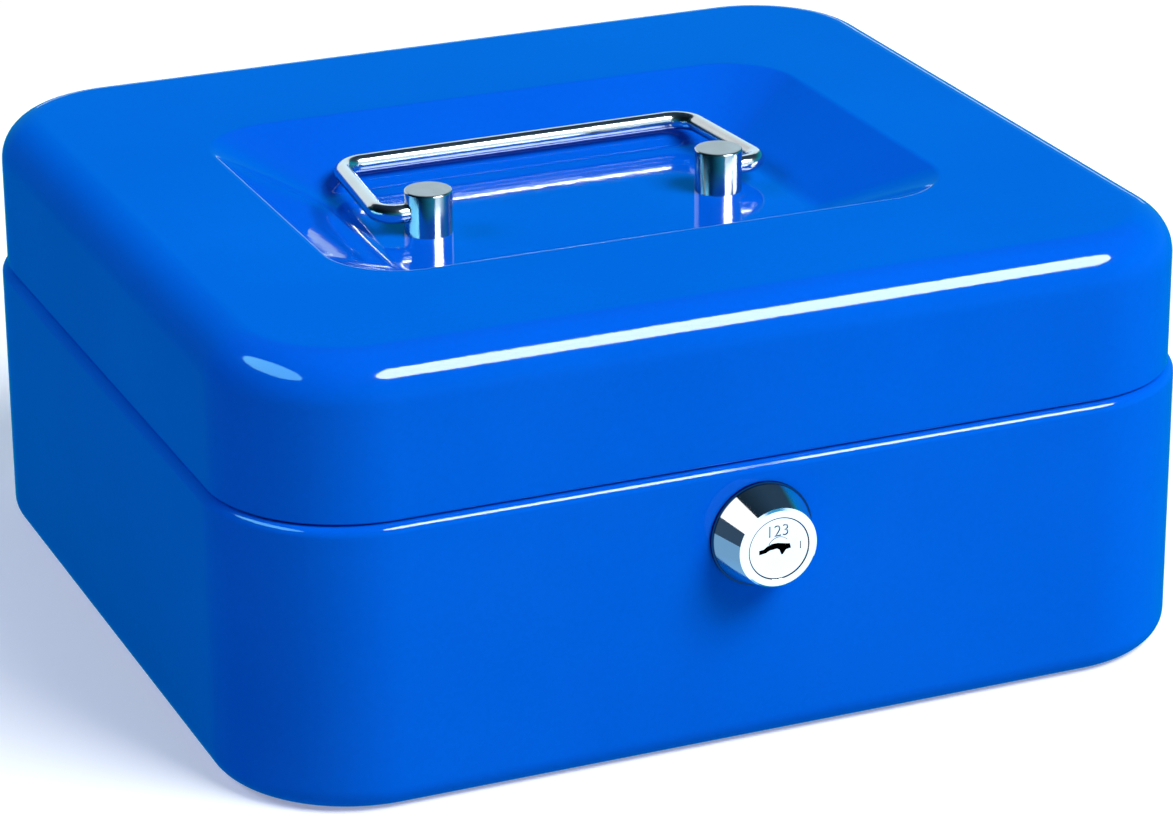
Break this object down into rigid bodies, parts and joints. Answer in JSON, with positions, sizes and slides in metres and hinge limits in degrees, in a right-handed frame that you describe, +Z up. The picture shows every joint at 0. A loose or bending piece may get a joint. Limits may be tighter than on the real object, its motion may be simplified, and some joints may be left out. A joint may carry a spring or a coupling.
{
  "type": "cash box",
  "caption": "Steel cash box with a hinged lid, a folding bail handle in a recessed well, a turning cam lock and a lift-out coin tray.",
  "frame": {"origin": "middle of the lower box's flat underside, on the surface that it stands on", "axes": "+X to the right seen from the lock, +Y from the lock to the hinge, +Z up"},
  "size_m": [0.2024, 0.1947, 0.09],
  "materials": {
    "blue_enamel": "gloss powder coat",
    "chrome_plate": "polished chrome plate",
    "polished_wire": "polished nickel-plated steel",
    "plated_steel": "zinc plated",
    "plain_steel": "drawn",
    "brass_sheet": "stamped",
    "tray_plastic": "fine textured"
  },
  "bodies": {
    "base": {"base_shell": "blue_enamel", "hinge_base_leaf": "blue_enamel", "hinge_pin": "plain_steel", "lock_housing": "chrome_plate", "lock_washer": "plated_steel", "lock_nut": "plated_steel"},
    "lid": {"lid_shell": "blue_enamel", "hinge_lid_leaf": "blue_enamel", "lid_strike": "blue_enamel", "handle_post_left": "polished_wire", "handle_post_right": "polished_wire", "handle_screw_left": "plated_steel", "handle_screw_right": "plated_steel", "handle_washer_left": "plated_steel", "handle_washer_right": "plated_steel"},
    "handle": {"handle_bail": "polished_wire"},
    "lock": {"lock_plug": "chrome_plate", "lock_wafer_1": "brass_sheet", "lock_wafer_2": "brass_sheet", "lock_wafer_3": "brass_sheet", "lock_wafer_4": "brass_sheet", "lock_wafer_5": "brass_sheet", "lock_wafer_springs": "plain_steel", "lock_cam": "plated_steel", "cam_washer": "plated_steel", "cam_screw": "plated_steel"},
    "tray": {"coin_tray": "tray_plastic"}
  },
  "joints": [
    {"name": "lid_hinge", "type": "hinge", "parent": "base", "child": "lid", "pos_m": [0, 0.0906, 0.0584], "axis": [-1, 0, 0], "range_deg": [0, 100]},
    {"name": "handle_pivot", "type": "hinge", "parent": "lid", "child": "handle", "pos_m": [0, -0.004, 0.0846], "axis": [1, 0, 0], "range_deg": [0, 172]},
    {"name": "lock_turn", "type": "hinge", "parent": "base", "child": "lock", "pos_m": [0, -0.0932, 0.0438], "axis": [0, 1, 0], "range_deg": [0, 90]},
    {"name": "tray_lift", "type": "slide", "parent": "base", "child": "tray", "axis": [0, 0, 1], "range_m": [0, 0.008]}
  ]
}
